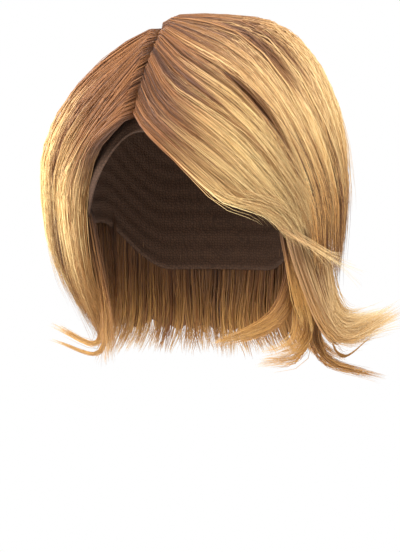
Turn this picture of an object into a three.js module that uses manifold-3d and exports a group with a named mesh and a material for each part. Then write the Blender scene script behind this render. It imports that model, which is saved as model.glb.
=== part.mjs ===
// A layered, collar-length wig with a side parting, a swept fringe and flicked ends, sewn to a soft net cap.
// Millimetres. +Z is up, the wearer faces -Y, and +X is the wearer's left.
// The origin is the middle of the head opening, level with the tops of the ears.
import * as THREE from "three";
import Module from "manifold-3d";

const wasm = await Module();
wasm.setup();

const { degToRad, clamp, lerp, smoothstep } = THREE.MathUtils;
const UP = new THREE.Vector3(0, 0, 1);

// The head opening and the cap
const EQUATOR = 14; // height of the widest level, of the head and of the hair
const DOME_POWER = { head: 2.12, hair: 2.06 }; // how full the domes' shoulders are: 2 is a plain ellipsoid
const HEAD = { halfWidth: 77.5, halfLength: 97, top: 126 };
const NECK_DROP = 190; // depth under the equator at which the head's outline would close
const CAP_WALL = 1.5;
const CAP_RIM = { front: 60, ear: -6, nape: -44 }; // height of the cap's edge round the head
const RIM_TURNS = { brow: 18, ear: 78, behindEar: 100, nape: 150 }; // azimuths where that edge turns
const CAP_SIDES = 28;
const CAP_ROWS = 8;
const SEAT_GAP = 0.5; // what a piece keeps from the one that it lies on

// The outer form of the hair
const HAIR = { halfWidth: 110, halfLength: 118, top: 145, bottom: -130 };
const TOP_LEAN = 19.5; // the hair is brushed over, so its highest point lies to the wearer's left
const LEAN_FROM = 30; // height above which it leans that way
const LEAN_POWER = 1.3;
const PARTING_TILT = { top: 19.7, front: 15 }; // degrees that the parting lies to the wearer's right
const PARTING_GAP = 1.5; // degrees between the parting's middle and the first hair on either side
const HAIRLINE = 67; // where the parting ends at the forehead, in degrees down from the top
const ROOT_LIFT = 2.5; // how far the roots stand proud of the outer form
const ROOT_FALL = 0.8; // share of the way to the equator in which a lock comes down from there
const ROOT_SLANT = { most: 10, front: 3 }; // degrees that a root lies further back than its lock's line
const SLANT_FROM = { top: 30, front: 48 }; // where on the parting it is full, and lessens again
const DRAPE_SHARES = [0, 0.2, 0.4, 0.6, 0.8, 1]; // where a lock's line is fixed on its way to the equator
const DRAPE_TURN = 0.5; // share of its turn that a draped lock has made at its bend
const HANG_TURN = 1 / 3; // the same for a hanging lock
const HALF_WAY = { down: 0.5, out: 0.4 }; // how far a hanging lock has come half way to its bend

// Curtains: layers of locks that lie side by side in one sheet, ridged outside and pointed at the tips
const CURTAIN_STATIONS = { draped: 10, hanging: 7 }; // steps along its locks
const RIDGE_COLUMNS = [
  { place: 0, ridge: 0 }, // the furrow before a lock
  { place: 0.3, ridge: 1 }, // the two shoulders of its back
  { place: 0.7, ridge: 1 },
];
const FURROW_LENGTH = 0.92; // beside the whole length of its locks
const LENGTH_STEP = 0.03; // neighbouring locks differ in length by up to two of these
const RIDGE_SHARE = { root: 0.3, middle: 1, tip: 0.35 }; // what a ridge keeps of its height along a lock
const ROOT_DEPTH = { more: 8, until: 0.25 }; // a curtain is deeper at the roots, where it sits on the cap
const THIN_FROM = 0.5; // share of its length after which a curtain thins out
const TIP_THICKNESS = 0.2; // what is left of its depth at the tips
const POINT_FROM = 0.72; // share of its length after which each lock draws to a point
const POINT_DRAW = 0.8; // how far the shoulders have come together at the tip

// Locks: layers of single locks, each with a form of its own, fused to a band that is sewn to the cap
const BAND = { lift: -28, depth: 5, height: 18, reach: 6 }; // reach is in degrees past the outer locks
const LOCK_STATIONS = 8;
const TAPER_FROM = 0.45; // share of a lock's length after which it narrows
const TIP_SHARE = 0.16; // what is left of its width at the tip
const LOCK_RIDGE = 0.45; // height of its rounded back, beside its half width
const LOCK_SECTION = [
  { across: -1, out: 0 },
  { across: -0.55, out: 1 },
  { across: 0.55, out: 1 },
  { across: 1, out: 0 },
  { across: 0.6, out: -1 },
  { across: -0.6, out: -1 },
];

// Layers that start on the parting and fall over the dome. A row is one line of hair, and what lies
// between two rows is worked out from both. The columns:
//   along   root, in degrees from the top towards the forehead
//   az      azimuth where the hair crosses the equator: 0 in front, 90 at the wearer's left
//   sweep   degrees that it bows sideways on its way there
//   side    its lift there, out from the outer form
//   bendZ   height of its bend, and tuck, the lift there
//   tipZ    height of its tip, and flick, the lift there
//   turn    degrees of azimuth from the equator to the tip
const TOP_LAYERS = {
  fringe: {
    locks: 7,
    ridge: 3,
    depth: 9,
    rows: [
      { along: 66, az: 22, sweep: -2, side: -5, bendZ: 7, tuck: -3, tipZ: -16, flick: 0, turn: 31 },
      { along: 50, az: 51, sweep: -4, side: -2, bendZ: 2, tuck: 0, tipZ: -18, flick: 1, turn: 4 },
      { along: 35.4, az: 57, sweep: 6, side: -3, bendZ: 4, tuck: -2, tipZ: -11, flick: -2, turn: 4 },
    ],
  },
  left_side: {
    locks: 8,
    ridge: 4,
    depth: 11,
    rows: [
      { along: 34.6, az: 58, sweep: 6, side: -2, bendZ: -14, tuck: -2, tipZ: -42, flick: -5, turn: 7 },
      { along: 18, az: 72, sweep: -8, side: -1, bendZ: -16, tuck: -3, tipZ: -44, flick: -7, turn: 4 },
      { along: 5, az: 100, sweep: -4, side: -1, bendZ: -20, tuck: -5, tipZ: -46, flick: -10, turn: 0 },
      { along: -9, az: 135, sweep: -5, side: -3, bendZ: -22, tuck: -5, tipZ: -60, flick: -7, turn: 0 },
    ],
  },
  right_side: {
    locks: 7,
    ridge: 4,
    depth: 10,
    rows: [
      { along: 67, az: -61, sweep: -6, side: -20, bendZ: -40, tuck: -27, tipZ: -92, flick: -48, turn: -5 },
      { along: 52, az: -72, sweep: 6, side: -13, bendZ: -45, tuck: -23, tipZ: -98, flick: -46, turn: -3 },
      { along: 28, az: -88, sweep: 0, side: 5, bendZ: -30, tuck: -2, tipZ: -88, flick: -34, turn: 0 },
      { along: -2, az: -118, sweep: 0, side: 1, bendZ: -45, tuck: -8, tipZ: -94, flick: -22, turn: 0 },
    ],
  },
  back: {
    locks: 8,
    ridge: 4,
    depth: 11,
    rows: [
      { along: -9.8, az: 136, sweep: -5, side: -3, bendZ: -24, tuck: -5, tipZ: -62, flick: -7, turn: 0 },
      { along: -20, az: 180, sweep: 0, side: -3, bendZ: -45, tuck: -10, tipZ: -92, flick: -2, turn: 0 },
      { along: -14, az: 215, sweep: 0, side: -3, bendZ: -50, tuck: -12, tipZ: -100, flick: -8, turn: 0 },
      { along: -4, az: 241, sweep: 0, side: 1, bendZ: -46, tuck: -8, tipZ: -98, flick: -22, turn: 0 },
    ],
  },
};

// Layers that start on the cap and hang from there. The columns:
//   az      azimuth of the root, with rootZ its height and rootLift its lift
//   bendZ   height of the bend, and tuck, the lift there, out from the outer form
//   tipZ    height of the tip, and flick, the lift there
//   turn    degrees of azimuth from the root to the tip
const HANGING_LAYERS = {
  temple_flick: {
    locks: 3,
    ridge: 2,
    depth: 4,
    rows: [
      { az: 50, rootZ: 1, rootLift: -16, bendZ: -29, tuck: 4, tipZ: -38, flick: 13, turn: 31 },
      { az: 54, rootZ: 5, rootLift: -16, bendZ: -25, tuck: 7, tipZ: -32, flick: 14, turn: 27 },
    ],
  },
  left_flick: {
    locks: 5,
    ridge: 3,
    depth: 7,
    rows: [
      { az: 58, rootZ: 20, rootLift: -24, bendZ: -88, tuck: 12, tipZ: -82, flick: 42, turn: 28 },
      { az: 82, rootZ: 20, rootLift: -24, bendZ: -72, tuck: -2, tipZ: -72, flick: 36, turn: 9 },
      { az: 118, rootZ: 16, rootLift: -24, bendZ: -72, tuck: -4, tipZ: -84, flick: 12, turn: 4 },
    ],
  },
  nape: {
    locks: 8,
    ridge: 3,
    depth: 7,
    rows: [
      { az: 112, rootZ: -2, rootLift: -28, bendZ: -84, tuck: -26, tipZ: -110, flick: -8, turn: 0 },
      { az: 180, rootZ: -30, rootLift: -16, bendZ: -84, tuck: -24, tipZ: -112, flick: -10, turn: 0 },
      { az: 248, rootZ: -2, rootLift: -28, bendZ: -84, tuck: -26, tipZ: -110, flick: -12, turn: 0 },
    ],
  },
};

// Single locks that start on a band sewn to the cap, with the same columns and the half width of each
const LOCK_LAYERS = {
  left_under: {
    depth: 5,
    rows: [
      { az: 65, rootZ: 8, bendZ: -56, tuck: -20, tipZ: -81, flick: -18, turn: 0, halfWidth: 8 },
      { az: 74, rootZ: 10, bendZ: -72, tuck: -26, tipZ: -88, flick: -26, turn: -57, halfWidth: 8 },
      { az: 80, rootZ: 4, bendZ: -92, tuck: -20, tipZ: -99, flick: -26, turn: -31, halfWidth: 13 },
      { az: 86, rootZ: 2, bendZ: -100, tuck: -16, tipZ: -115, flick: 24, turn: 6, halfWidth: 13 },
      { az: 104, rootZ: 2, bendZ: -90, tuck: -22, tipZ: -108, flick: 0, turn: 4, halfWidth: 13 },
    ],
  },
  right_under: {
    depth: 5,
    rows: [
      { az: -64, rootZ: 6, bendZ: -80, tuck: -46, tipZ: -104, flick: -50, turn: 4, halfWidth: 10 },
      { az: -78, rootZ: 4, bendZ: -94, tuck: -38, tipZ: -83, flick: 2, turn: -14, halfWidth: 4 },
      { az: -92, rootZ: 4, bendZ: -102, tuck: -37, tipZ: -95, flick: 2, turn: -4, halfWidth: 4 },
      { az: -106, rootZ: 2, bendZ: -84, tuck: -34, tipZ: -106, flick: -22, turn: 0, halfWidth: 12 },
    ],
  },
};

// Colours and roughness of the nodes
const FINISHES = {
  wig_cap: { color: 0x8a6a4c, roughness: 0.85 },
  fringe: { color: 0xd2ad7c, roughness: 0.45 },
  temple_flick: { color: 0xe0b983, roughness: 0.45 },
  left_side: { color: 0xcba36e, roughness: 0.45 },
  right_side: { color: 0xba8d5a, roughness: 0.45 },
  back: { color: 0xb98d5e, roughness: 0.45 },
  left_flick: { color: 0xe0b983, roughness: 0.45 },
  left_under: { color: 0xb5814c, roughness: 0.45 },
  right_under: { color: 0xb5814c, roughness: 0.45 },
  nape: { color: 0xa87440, roughness: 0.45 },
};

// Shapes from points

/** A closed geometry from points and faces, turned so that its faces point outwards. */
function closed(points, faces) {
  const geometry = new THREE.BufferGeometry().setFromPoints(points);
  geometry.setIndex(faces);
  if (signedVolume(geometry) < 0) geometry.setIndex(faces.reverse());
  return geometry;
}

/** A closed surface through rings of points. A ring of one point is a peak, and an open end is shut. */
function loft(rings) {
  const starts = rings.map((_, r) => rings.slice(0, r).reduce((sum, ring) => sum + ring.length, 0));
  const id = (r, s) => starts[r] + (s % rings[r].length);
  const faces = [];
  for (let r = 0; r + 1 < rings.length; r++) {
    const sides = Math.max(rings[r].length, rings[r + 1].length);
    for (let s = 0; s < sides; s++) {
      if (rings[r].length > 1) faces.push(id(r, s), id(r, s + 1), id(r + 1, s + 1));
      if (rings[r + 1].length > 1) faces.push(id(r, s), id(r + 1, s + 1), id(r + 1, s));
    }
  }
  const last = rings.length - 1;
  for (let s = 1; s + 1 < rings[0].length; s++) faces.push(id(0, 0), id(0, s + 1), id(0, s));
  for (let s = 1; s + 1 < rings[last].length; s++) faces.push(id(last, 0), id(last, s), id(last, s + 1));
  return closed(rings.flat(), faces);
}

/** A closed sheet between an outer and an inner grid of points, both as columns of the same length. */
function sheet(outer, inner) {
  const columns = outer.length;
  const steps = outer[0].length;
  const points = [...outer.flat(), ...inner.flat()];
  const id = (side, c, s) => (side * columns + c) * steps + s;
  const faces = [];
  const quad = (a, b, c, d) => {
    const [ac, bd] = [points[a].distanceTo(points[c]), points[b].distanceTo(points[d])];
    faces.push(...(ac <= bd ? [a, b, c, a, c, d] : [b, c, d, b, d, a]));
  };
  for (let c = 0; c + 1 < columns; c++) {
    for (let s = 0; s + 1 < steps; s++) {
      quad(id(0, c, s), id(0, c + 1, s), id(0, c + 1, s + 1), id(0, c, s + 1));
      quad(id(1, c, s), id(1, c, s + 1), id(1, c + 1, s + 1), id(1, c + 1, s));
    }
    quad(id(0, c, 0), id(1, c, 0), id(1, c + 1, 0), id(0, c + 1, 0));
    quad(id(0, c, steps - 1), id(0, c + 1, steps - 1), id(1, c + 1, steps - 1), id(1, c, steps - 1));
  }
  for (let s = 0; s + 1 < steps; s++) {
    quad(id(0, 0, s), id(0, 0, s + 1), id(1, 0, s + 1), id(1, 0, s));
    quad(id(0, columns - 1, s), id(1, columns - 1, s), id(1, columns - 1, s + 1), id(0, columns - 1, s + 1));
  }
  return closed(points, faces);
}

/** The volume inside a closed geometry, below zero if its faces point inwards. */
function signedVolume(geometry) {
  const points = geometry.getAttribute("position");
  const index = geometry.getIndex().array;
  const corner = (n) => new THREE.Vector3().fromBufferAttribute(points, index[n]);
  let volume = 0;
  for (let n = 0; n < index.length; n += 3) {
    volume += corner(n).dot(corner(n + 1).cross(corner(n + 2))) / 6;
  }
  return volume;
}

function toSolid(geometry) {
  const vertProperties = Float32Array.from(geometry.getAttribute("position").array);
  const triVerts = Uint32Array.from(geometry.getIndex().array);
  return new wasm.Manifold(new wasm.Mesh({ numProp: 3, vertProperties, triVerts }));
}

/** The largest body of a solid, as a geometry. */
function toGeometry(solid) {
  const bodies = solid.decompose().sort((a, b) => b.volume() - a.volume());
  const mesh = bodies[0].getMesh();
  const geometry = new THREE.BufferGeometry();
  geometry.setAttribute("position", new THREE.BufferAttribute(Float32Array.from(mesh.vertProperties), 3));
  geometry.setIndex(Array.from(mesh.triVerts));
  return geometry;
}

// The cap and the space for the head

/** The width of a dome at height z, as a share of its width at the equator. */
function domeShare(z, top) {
  const rise = clamp((z - EQUATOR) / (top - EQUATOR), 0, 1);
  return (1 - rise ** DOME_POWER.head) ** (1 / DOME_POWER.head);
}

/** The height of the cap's edge at an azimuth. */
function rimAt(azimuth) {
  const away = Math.abs(azimuth);
  const side = lerp(CAP_RIM.front, CAP_RIM.ear, smoothstep(away, RIM_TURNS.brow, RIM_TURNS.ear));
  return lerp(side, CAP_RIM.nape, smoothstep(away, RIM_TURNS.behindEar, RIM_TURNS.nape));
}

/** A ring of the head's outline, grown outwards, at the height that heightAt gives for each azimuth. */
function headRing(grow, heightAt) {
  return Array.from({ length: CAP_SIDES }, (_, side) => {
    const azimuth = -180 + (360 * side) / CAP_SIDES;
    const z = heightAt(azimuth);
    const narrowing = Math.sqrt(1 - (Math.max(EQUATOR - z, 0) / NECK_DROP) ** 2);
    const share = domeShare(z, HEAD.top + grow) * narrowing;
    const a = degToRad(azimuth);
    return new THREE.Vector3(
      (HEAD.halfWidth + grow) * share * Math.sin(a),
      -(HEAD.halfLength + grow) * share * Math.cos(a),
      z,
    );
  });
}

/** The rings of the cap's dome from its edge up to its peak. */
function domeRings(grow) {
  const rings = Array.from({ length: CAP_ROWS }, (_, row) => {
    const climb = Math.sin((Math.PI / 2) * (row / CAP_ROWS));
    return headRing(grow, (azimuth) => lerp(rimAt(azimuth), HEAD.top + grow, climb));
  });
  return [...rings, [new THREE.Vector3(0, 0, HEAD.top + grow)]];
}

function capGeometry() {
  return loft([...domeRings(0).reverse(), ...domeRings(CAP_WALL)]);
}

/** The cap, the head in it and the neck under it as one body, with the seat gap round them. */
function headSpace() {
  const grow = CAP_WALL + SEAT_GAP;
  const below = headRing(grow, () => HAIR.bottom);
  return toSolid(loft([below, ...domeRings(grow)]));
}

// The lines that the locks follow

/** How far the hair leans towards the wearer's left at height z. */
function leanAt(z) {
  return TOP_LEAN * clamp((z - LEAN_FROM) / (HAIR.top - LEAN_FROM), 0, 1) ** LEAN_POWER;
}

/** The outward direction of the hair's outer form at a point. */
function outwardAt(point) {
  const x = (point.x - leanAt(point.z)) / HAIR.halfWidth;
  const y = point.y / HAIR.halfLength;
  const rise = clamp((point.z - EQUATOR) / (HAIR.top - EQUATOR), 0, 1);
  const wide = Math.hypot(x, y) ** (DOME_POWER.hair - 2);
  return new THREE.Vector3(
    (wide * x) / HAIR.halfWidth,
    (wide * y) / HAIR.halfLength,
    rise ** (DOME_POWER.hair - 1) / (HAIR.top - EQUATOR),
  ).normalize();
}

/** The point of the hair's dome in a unit direction from its middle, raised by lift. */
function onDome(dir, lift) {
  const wide = Math.hypot(dir.x, dir.y) ** (2 / DOME_POWER.hair);
  const azimuth = Math.atan2(dir.x, -dir.y);
  const z = EQUATOR + (HAIR.top - EQUATOR) * Math.max(dir.z, 0) ** (2 / DOME_POWER.hair);
  const point = new THREE.Vector3(
    leanAt(z) + HAIR.halfWidth * wide * Math.sin(azimuth),
    -HAIR.halfLength * wide * Math.cos(azimuth),
    z,
  );
  return point.addScaledVector(outwardAt(point), lift);
}

/** The point at an azimuth and a height, out by lift from the upright wall under the dome. */
function onWall(azimuth, z, lift) {
  const a = degToRad(azimuth);
  return new THREE.Vector3(
    (HAIR.halfWidth + lift) * Math.sin(a),
    -(HAIR.halfLength + lift) * Math.cos(a),
    z,
  );
}

/** The unit direction of a root on the parting, at an angle from the top towards the forehead. */
function partingRoot(along) {
  const tilt = lerp(PARTING_TILT.top, PARTING_TILT.front, clamp(along / HAIRLINE, 0, 1));
  const side = degToRad(tilt);
  const front = degToRad(along);
  return new THREE.Vector3(
    -Math.sin(side),
    -Math.cos(side) * Math.sin(front),
    Math.cos(side) * Math.cos(front),
  );
}

/** How much further back than its lock's line a root is, so that locks leave the parting at a slant. */
function slantAt(along) {
  const most = lerp(ROOT_SLANT.most, ROOT_SLANT.front, smoothstep(along, SLANT_FROM.front, HAIRLINE));
  return most * clamp(along / SLANT_FROM.top, 0, 1);
}

/** The line of a lock that falls from the parting over the dome. */
function drapedLine(row) {
  const a = degToRad(row.az);
  const side = new THREE.Vector3(Math.sin(a), -Math.cos(a), 0);
  const points = DRAPE_SHARES.map((share) => {
    const root = partingRoot(share > 0 ? row.along : row.along - slantAt(row.along));
    const axis = new THREE.Vector3().crossVectors(root, side).normalize();
    const bow = degToRad(row.sweep) * Math.sin(Math.PI * share);
    const fall = lerp(degToRad(PARTING_GAP), root.angleTo(side), share);
    const dir = root.applyAxisAngle(axis, fall).applyAxisAngle(UP, bow);
    return onDome(dir, lerp(ROOT_LIFT, row.side, smoothstep(share, 0, ROOT_FALL)));
  });
  points.push(onWall(row.az + row.turn * DRAPE_TURN, row.bendZ, row.tuck));
  points.push(onWall(row.az + row.turn, row.tipZ, row.flick));
  return new THREE.CatmullRomCurve3(points);
}

/** The line of a lock that hangs from the cap. */
function hangingLine({ rootLift = BAND.lift, ...row }) {
  const halfWayZ = lerp(row.rootZ, row.bendZ, HALF_WAY.down);
  const halfWayLift = lerp(rootLift, row.tuck, HALF_WAY.out);
  return new THREE.CatmullRomCurve3([
    onWall(row.az, row.rootZ, rootLift),
    onWall(row.az, halfWayZ, halfWayLift),
    onWall(row.az + row.turn * HANG_TURN, row.bendZ, row.tuck),
    onWall(row.az + row.turn, row.tipZ, row.flick),
  ]);
}

// The layers

/** The row at a share of the way from the first to the last of a layer's rows. */
function rowAt(rows, share) {
  const place = clamp(share, 0, 1) * (rows.length - 1);
  const first = Math.min(Math.floor(place), rows.length - 2);
  const column = (name) => lerp(rows[first][name], rows[first + 1][name], place - first);
  return Object.fromEntries(Object.keys(rows[0]).map((name) => [name, column(name)]));
}

/** What a quantity keeps along a lock, from 1 down to what is left at the tip. */
function thinning(along, from, left) {
  return lerp(1, left, smoothstep(along, from, 1));
}

/** The way out at an end of a share from 0 to 1, and nothing between the ends. */
function endSign(share) {
  if (share <= 0) return -1;
  return share >= 1 ? 1 : 0;
}

/** The columns of a curtain: where each lies across it, its lock's middle, and how far down it reaches. */
function curtainColumns(locks) {
  const lengthOf = (lock) => 1 - LENGTH_STEP * ((2 * lock) % 3);
  const columns = Array.from({ length: locks }, (_, lock) =>
    RIDGE_COLUMNS.map(({ place, ridge }) => ({
      at: (lock + place) / locks,
      middle: (lock + 0.5) / locks,
      ridge,
      length: ridge > 0 ? lengthOf(lock) : FURROW_LENGTH,
    })),
  ).flat();
  return [...columns, { at: 1, middle: 1, ridge: 0, length: FURROW_LENGTH }];
}

/** Even shares from 0 to 1. */
function evenShares(steps) {
  return Array.from({ length: steps + 1 }, (_, step) => step / steps);
}

/** The middle of a line at shares of its length, and three directions there: along, outward and across. */
function framesAlong(line, shares) {
  let outward = outwardAt(line.getPointAt(0));
  return shares.map((share) => {
    const middle = line.getPointAt(share);
    const along = line.getTangentAt(share);
    const surface = outwardAt(middle);
    const trust = (1 - Math.abs(surface.dot(along))) ** 2;
    outward = outward.clone().addScaledVector(surface, trust);
    outward.addScaledVector(along, -outward.dot(along)).normalize();
    return { share, middle, along, outward, across: outward.clone().cross(along) };
  });
}

/** A layer of locks side by side, as one closed sheet, grown outwards where it is to cut its neighbours. */
function curtain(layer, lineOf, grow) {
  const stations = evenShares(lineOf === drapedLine ? CURTAIN_STATIONS.draped : CURTAIN_STATIONS.hanging);
  const lineAt = (across) => lineOf(rowAt(layer.rows, across));
  const facing = Math.sign(layer.rows.at(-1).az - layer.rows[0].az);
  const outer = [];
  const inner = [];
  for (const { at, middle, ridge, length } of curtainColumns(layer.locks)) {
    const centre = lineAt(middle);
    const outerColumn = [];
    const innerColumn = [];
    const shares = stations.map((station) => station * thinning(station, POINT_FROM, length));
    for (const frame of framesAlong(lineAt(at), shares)) {
      const along = frame.share;
      const draw = ridge * POINT_DRAW * smoothstep(along, POINT_FROM, 1);
      const point = frame.middle.clone().lerp(centre.getPointAt(along), draw);
      const swell = lerp(RIDGE_SHARE.root, RIDGE_SHARE.middle, smoothstep(along, 0, THIN_FROM));
      const height = layer.ridge * ridge * swell * thinning(along, THIN_FROM, RIDGE_SHARE.tip);
      const rootDepth = ROOT_DEPTH.more * (1 - smoothstep(along, 0, ROOT_DEPTH.until));
      const depth = layer.depth * thinning(along, THIN_FROM, TIP_THICKNESS) + rootDepth;
      point.addScaledVector(frame.across, grow * facing * endSign(at));
      point.addScaledVector(frame.along, grow * endSign(along / length));
      outerColumn.push(point.clone().addScaledVector(frame.outward, height + grow));
      innerColumn.push(point.clone().addScaledVector(frame.outward, -depth - grow));
    }
    outer.push(outerColumn);
    inner.push(innerColumn);
  }
  return toSolid(sheet(outer, inner));
}

/** A layer of single locks, fused where they meet, grown outwards where it is to cut its neighbours. */
function lockGroup(layer, lineOf, grow) {
  const locks = layer.rows.map((row) => {
    const rings = framesAlong(lineOf(row), evenShares(LOCK_STATIONS)).map((frame) => {
      const taper = thinning(frame.share, TAPER_FROM, TIP_SHARE);
      const halfWidth = row.halfWidth * taper;
      return LOCK_SECTION.map(({ across, out }) => {
        const height = out > 0 ? LOCK_RIDGE * halfWidth : layer.depth * taper;
        return frame.middle
          .clone()
          .addScaledVector(frame.along, grow * endSign(frame.share))
          .addScaledVector(frame.across, across * (halfWidth + grow))
          .addScaledVector(frame.outward, out * (height + grow));
      });
    });
    return toSolid(loft(rings));
  });
  return locks.reduce((sum, lock) => sum.add(lock), backingBand(layer.rows, grow));
}

/** The band along the roots of a layer of single locks, reaching a little past the outer ones. */
function backingBand(rows, grow) {
  const [first, last] = [rows[0], rows.at(-1)];
  const reach = BAND.reach * Math.sign(last.az - first.az);
  const places = [{ ...first, az: first.az - reach }, ...rows, { ...last, az: last.az + reach }];
  const outside = BAND.lift + grow;
  const inside = BAND.lift - BAND.depth - grow;
  const rings = places.map(({ az, rootZ }) => {
    const upper = rootZ + grow;
    const lower = rootZ - BAND.height - grow;
    return [
      onWall(az, upper, outside),
      onWall(az, lower, outside),
      onWall(az, lower, inside),
      onWall(az, upper, inside),
    ];
  });
  return toSolid(loft(rings));
}

// The wig

const wig = new THREE.Group();

function addPiece(name, geometry) {
  const finish = new THREE.MeshStandardMaterial({ ...FINISHES[name], metalness: 0 });
  const mesh = new THREE.Mesh(geometry, finish);
  mesh.name = name;
  wig.add(mesh);
}

addPiece("wig_cap", capGeometry());

let taken = headSpace();

/** Adds layers of hair, each clear of everything that is there before it. */
function addLayers(layers, make, lineOf) {
  for (const [name, layer] of Object.entries(layers)) {
    addPiece(name, toGeometry(make(layer, lineOf, 0).subtract(taken)));
    taken = taken.add(make(layer, lineOf, SEAT_GAP));
  }
}

addLayers(TOP_LAYERS, curtain, drapedLine);
addLayers(LOCK_LAYERS, lockGroup, hangingLine);
addLayers(HANGING_LAYERS, curtain, hangingLine);

export default wig;
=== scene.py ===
"""Looks of a layered, collar-length blonde wig with dark roots, a side parting and flicked ends.

Millimetres and degrees in the tables, metres in Blender. +Z is up, -Y is the front and +X the left as worn.
Azimuth 0 is in front and 90 at the left. A lift is a distance out from the hair's outer form.
"""

from __future__ import annotations

import logging
import math
from dataclasses import astuple, dataclass, field, fields, replace
from enum import Enum
from typing import Sequence, Union

import bmesh
import bpy
import numpy as np
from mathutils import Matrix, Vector

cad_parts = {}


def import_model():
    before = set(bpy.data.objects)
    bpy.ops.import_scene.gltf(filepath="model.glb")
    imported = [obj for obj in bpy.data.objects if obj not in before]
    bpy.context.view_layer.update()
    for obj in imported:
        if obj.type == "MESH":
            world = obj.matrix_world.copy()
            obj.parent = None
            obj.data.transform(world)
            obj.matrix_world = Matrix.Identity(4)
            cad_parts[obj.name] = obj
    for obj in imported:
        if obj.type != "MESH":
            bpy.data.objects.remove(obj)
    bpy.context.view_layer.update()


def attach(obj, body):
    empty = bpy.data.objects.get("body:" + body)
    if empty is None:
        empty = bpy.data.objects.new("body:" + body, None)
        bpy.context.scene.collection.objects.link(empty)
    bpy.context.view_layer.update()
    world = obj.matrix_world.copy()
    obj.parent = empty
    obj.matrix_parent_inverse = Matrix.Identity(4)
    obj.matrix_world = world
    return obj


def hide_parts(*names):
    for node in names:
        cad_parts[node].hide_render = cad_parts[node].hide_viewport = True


LOG = logging.getLogger("wig")
MM = 0.001
BODY = "root"
STRAND_UV = "OFBake"  # u is a strand's tone, v its share of the way from root to tip
MIX_FIRST = 6  # a Mix node's inputs for two colours
MIX_SECOND = 7
MIX_RESULT = 2  # and its output for their mixture
MERGE_REACH = 0.01  # places of the cap that are closer than this are one

# The lines that hair follows. A share is one of the way from root to tip, unless another is named.
DRAPE_SHARES = (0.0, 0.2, 0.4, 0.6, 0.8, 1.0)  # where a draped line is fixed on its way to the equator
CROWN_SHARE = DRAPE_SHARES[1]  # where it crosses the flat of the crown
SLANT_SHARE = 0.6  # where it has made up the slant of its root
SLANT_POWER = 4.5  # how much of that it does early on
DRAPE_TURN = 0.5  # share of its turn that a draped line has made at its bend
HANG_TURN = 1 / 3  # the same for a hanging line
HALF_WAY_DOWN = 0.5  # how far a hanging line has come, down and out, half way to its bend
HALF_WAY_OUT = 0.4
CURVE_STEPS = 24  # fine steps between two fixed points of a line
LINE_STEPS = 40  # even steps of a finished line
LOCK_TAPER = 0.45  # where a lock that hangs by itself begins to narrow
LOCK_CROWN = 0.45  # height of its rounded back, beside its half width
WIDE_LOCK = 10.0  # half width of the lock that a growth's own depth, fray and splay are for

# How wisps and strands are placed
WISP_PLACE = (0.1, 0.9)  # where the middle of a wisp may lie in its share of the way across
WISP_SPREAD = (0.5, 0.25)  # two shifts that spread its strands, in shares of its width
WISP_HEIGHT = 0.35  # how far its strands share one height
GATHER_FROM = 0.35  # where its strands begin to draw together
POINT_FROM = 0.7  # where the hair of a lock does
SHORTER = 0.16  # how much shorter than its wisp a strand may be
STRAY_SHARES = (0.3, 1.0)  # how much of a layer's stray reach a stray strand takes
STRAND_CORNERS = 3
STRAND_TWIST = 2.4  # turn from one strand to the next, so that their flat sides face all ways
THICKNESS_SHARES = (0.7, 1.3)  # how thick strands are beside their layer's thickness
END_CROWDING = 0.55  # how far a strand's points crowd towards its two ends
ROOT_DIVE = 5.5  # how far roots on the parting reach in towards the cap
DIVE_SHARE = 0.035  # where a strand has come up from there
LIFT_FRAY = 0.6  # how much of its fray lifts a strand off its wisp
STRAY_POWER = 1.5  # how late a stray strand lifts off
SPLAY_POWER = 4  # how late a wisp leaves its layer
WAVE_HALVES = 1.3  # half waves along a lock
RIPPLE_HALVES = 3.1  # half ripples on that wave
RIPPLE_SIZE = 0.35  # size of the ripples beside the wave

# How strands are toned
BROAD_PART = 0.6  # how much of a layer's streaks is broad
WISP_PART = 0.7  # how much of them differs from wisp to wisp
BROAD_STREAKS = 5  # broad streaks to each lock
STRAND_JITTER = 0.16  # how far a strand's tone leaves its wisp's
DEEP_SHADE = 0.3  # painted shade: how much darker the lowest strands of a layer are than its uppermost
EVEN_DEPTH = 0.3  # depth in the layer at which that changes nothing
UNEVEN_GROOVES = 0.4  # how far the grooves between locks leave their even places
MEAN_CREST = 0.64  # mean of a lock's crest, so that painted groove shade keeps the layer's mean tone
GROOVE_FADE = 0.2  # share in which the painted groove shade sets in
ALL_ROOT = 0.3  # share of the rooted length that is all root
ROOT_CONTRAST = 1.6  # how much further apart neighbours' tones, painted deep shade too, are at the roots
VALLEY_ENDS = 0.35  # share of a valley's length in which it starts, and in which it ends
TONE_RANGE = (0.02, 0.98)  # what the UV map holds
SHARE_RANGE = (0.01, 0.99)
MAT_SHADE = 0.6  # how far towards its tips a mat takes the strands' colours, held back as painted shade

# What changes softly: from a first value to a second, between two shares
RIDGE_RISE = (0.0, 1.0, 0.0, 0.4)  # height of a lock's crest
RIDGE_FALL = (1.0, 0.4, 0.6, 1.0)
ROOT_DEPTH = (0.6, 1.0, 0.0, 0.15)  # depth of a layer
TIP_DEPTH = (1.0, 0.45, 0.55, 1.0)
ROOT_RADIUS = (0.6, 1.0, 0.0, 0.1)  # thickness of a strand
TIP_RADIUS = (1.0, 0.25, 0.55, 1.0)
WAVE_RISE = (0.0, 1.0, 0.0, 0.3)  # size of the wave
LIGHTEN_RISE = (0.0, 1.0, 0.0, 0.3)  # how far hair is lightened
TIP_TONE_RISE = (0.0, 1.0, 0.55, 0.95)  # how far it has the tone of its tips

Numbers = Union[float, np.ndarray]


class Slot(Enum):
    """The record's material slots."""

    NET = "cap_net"
    TOP = "hair_top"
    ENDS = "hair_ends"
    UNDER = "hair_under"


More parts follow.
